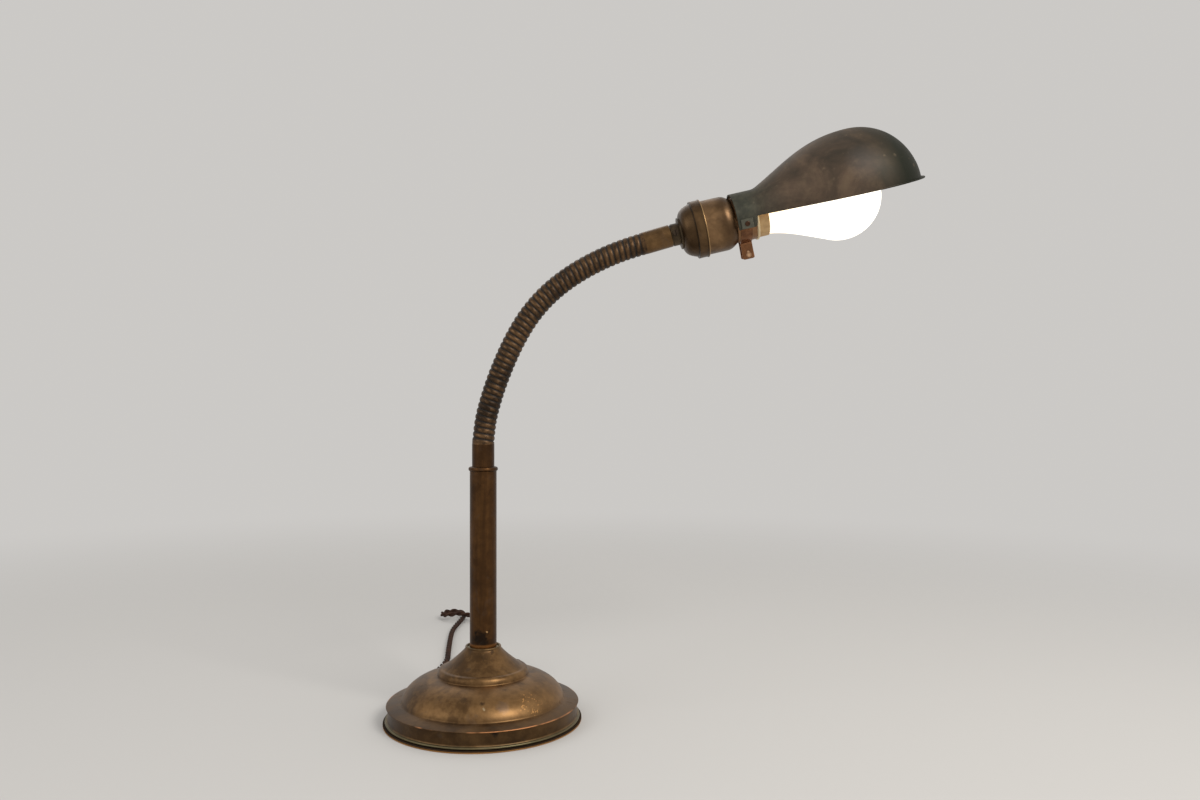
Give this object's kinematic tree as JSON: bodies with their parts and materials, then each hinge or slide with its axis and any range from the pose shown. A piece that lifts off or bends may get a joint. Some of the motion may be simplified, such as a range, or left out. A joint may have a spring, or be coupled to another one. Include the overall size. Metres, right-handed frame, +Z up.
{
  "type": "gooseneck desk lamp",
  "caption": "Desk lamp with a weighted spun base, straight stem, ribbed flexible gooseneck, key socket, screw-in bulb and a clip-on half shade, with its cord and plug.",
  "frame": {"origin": "centre of the round base, on the surface that the pad stands on", "axes": "+Z up; the neck bends over towards +X, in the XZ plane; +Y away from the viewer"},
  "size_m": [0.3956, 0.4001, 0.4212],
  "materials": {
    "felt": "felt, tan",
    "iron": "rough cast",
    "brass": "aged, worn brown-gold patina",
    "bronze": "aged, dark bronze patina",
    "steel": "plain",
    "copper": "aged copper-red brass",
    "patina": "dark green-grey, worn",
    "fibre": "vulcanised fibre, tan",
    "porcelain": "white",
    "opal": "opal white, lit",
    "clear_glass": "clear",
    "dark_plastic": "dark brown moulded",
    "cord": "brown cotton-covered twisted cord"
  },
  "bodies": {
    "base": {"base_pad": "felt", "base_weight": "iron", "base_shell": "brass", "base_nut": "steel", "base_washer": "steel", "base_nipple": "steel", "cord_bushing": "dark_plastic", "inner_lead": "cord", "stem_foot": "steel", "stem_tube": "brass", "stem_collar": "brass", "lower_sleeve": "bronze", "cord_run": "cord", "cord_coil": "cord", "cord_tail": "cord", "plug_relief": "dark_plastic", "plug_body": "dark_plastic", "plug_blades": "steel"},
    "neck_01": {"neck_link_01": "bronze"},
    "neck_02": {"neck_link_02": "bronze"},
    "neck_03": {"neck_link_03": "bronze"},
    "neck_04": {"neck_link_04": "bronze"},
    "neck_05": {"neck_link_05": "bronze"},
    "neck_06": {"neck_link_06": "bronze", "neck_lead": "cord"},
    "neck_07": {"neck_link_07": "bronze"},
    "neck_08": {"neck_link_08": "bronze"},
    "neck_09": {"neck_link_09": "bronze"},
    "neck_10": {"neck_link_10": "bronze"},
    "neck_11": {"neck_link_11": "bronze"},
    "neck_12": {"neck_link_12": "bronze"},
    "socket": {"upper_sleeve": "bronze", "hub_collar": "brass", "hub_screw": "steel", "hub_nut": "steel", "socket_cap": "brass", "cap_liner": "fibre", "socket_shell": "brass", "shell_liner": "fibre", "socket_core": "porcelain", "screw_shell": "brass", "centre_contact": "brass", "terminal_screws": "steel", "socket_wires": "cord"},
    "key": {"key_spindle": "steel", "turn_key": "dark_plastic"},
    "bulb": {"bulb_glass": "opal", "bulb_base": "brass", "bulb_contact": "dark_plastic", "bulb_stem": "clear_glass", "bulb_filament": "steel"},
    "shade": {"shade": "patina", "clip_saddle": "copper", "rivet_plates": "patina", "rivets": "copper"},
    "clip_arm_front": {"clip_front": "copper"},
    "clip_arm_rear": {"clip_rear": "copper"}
  },
  "joints": [
    {"name": "neck_bend_01", "type": "hinge", "parent": "base", "child": "neck_01", "pos_m": [0, 0, 0.19783], "axis": [0.0005, -1, 0.0003], "range_deg": [-6, 10.5], "deforming": ["neck_lead"]},
    {"name": "neck_bend_02", "type": "hinge", "parent": "neck_01", "child": "neck_02", "pos_m": [0.00203, 0, 0.2139], "axis": [-0.9792, 0, 0.2028], "range_deg": [-10, 10]},
    {"name": "neck_bend_03", "type": "hinge", "parent": "neck_02", "child": "neck_03", "pos_m": [0.00607, 0, 0.22959], "axis": [0.0005, -1, 0.0003], "range_deg": [-6, 10.5]},
    {"name": "neck_bend_04", "type": "hinge", "parent": "neck_03", "child": "neck_04", "pos_m": [0.01133, 0, 0.24491], "axis": [-0.9354, 0, 0.3535], "range_deg": [-10, 10]},
    {"name": "neck_bend_05", "type": "hinge", "parent": "neck_04", "child": "neck_05", "pos_m": [0.01752, 0, 0.25988], "axis": [0.0005, -1, 0.0003], "range_deg": [-6, 10.5]},
    {"name": "neck_bend_06", "type": "hinge", "parent": "neck_05", "child": "neck_06", "pos_m": [0.02474, 0, 0.27438], "axis": [-0.8771, 0, 0.4802], "range_deg": [-10, 10]},
    {"name": "neck_bend_07", "type": "hinge", "parent": "neck_06", "child": "neck_07", "pos_m": [0.03337, 0, 0.28809], "axis": [0.0005, -1, 0.0003], "range_deg": [-6, 10.5]},
    {"name": "neck_bend_08", "type": "hinge", "parent": "neck_07", "child": "neck_08", "pos_m": [0.04383, 0, 0.30046], "axis": [-0.7108, 0, 0.7034], "range_deg": [-10, 10]},
    {"name": "neck_bend_09", "type": "hinge", "parent": "neck_08", "child": "neck_09", "pos_m": [0.056, 0, 0.31116], "axis": [0.0005, -1, 0.0003], "range_deg": [-6, 10.5]},
    {"name": "neck_bend_10", "type": "hinge", "parent": "neck_09", "child": "neck_10", "pos_m": [0.06942, 0, 0.32023], "axis": [-0.512, 0, 0.859], "range_deg": [-10, 10]},
    {"name": "neck_bend_11", "type": "hinge", "parent": "neck_10", "child": "neck_11", "pos_m": [0.08371, 0, 0.32785], "axis": [0.0005, -1, 0.0003], "range_deg": [-6, 10.5]},
    {"name": "neck_bend_12", "type": "hinge", "parent": "neck_11", "child": "neck_12", "pos_m": [0.09865, 0, 0.33412], "axis": [-0.3469, 0, 0.9379], "range_deg": [-10, 10]},
    {"name": "neck_bend_13", "type": "hinge", "parent": "neck_12", "child": "socket", "pos_m": [0.11403, 0, 0.33921], "axis": [0.0005, -1, 0.0003], "range_deg": [-6, 10.5]},
    {"name": "key_turn", "type": "hinge", "parent": "socket", "child": "key", "pos_m": [0.16384, 0.019, 0.35182], "axis": [0, 1, 0], "continuous": true},
    {"name": "bulb_screw", "type": "hinge", "parent": "socket", "child": "bulb", "pos_m": [0.19416, 0, 0.35871], "axis": [0.9751, 0, 0.2215], "continuous": true},
    {"name": "shade_turn", "type": "hinge", "parent": "socket", "child": "shade", "pos_m": [0.17876, 0, 0.3552], "axis": [0.9751, 0, 0.2215], "continuous": true},
    {"name": "clip_front_spread", "type": "hinge", "parent": "shade", "child": "clip_arm_front", "pos_m": [0.18552, -0.01585, 0.34799], "axis": [-0.9751, 0, -0.2215], "range_deg": [0, 12], "stiffness_Nm_per_rad": 0.6},
    {"name": "clip_rear_spread", "type": "hinge", "parent": "shade", "child": "clip_arm_rear", "pos_m": [0.18396, 0.01794, 0.35487], "axis": [0.9751, 0, 0.2215], "range_deg": [0, 12], "stiffness_Nm_per_rad": 0.6}
  ]
}
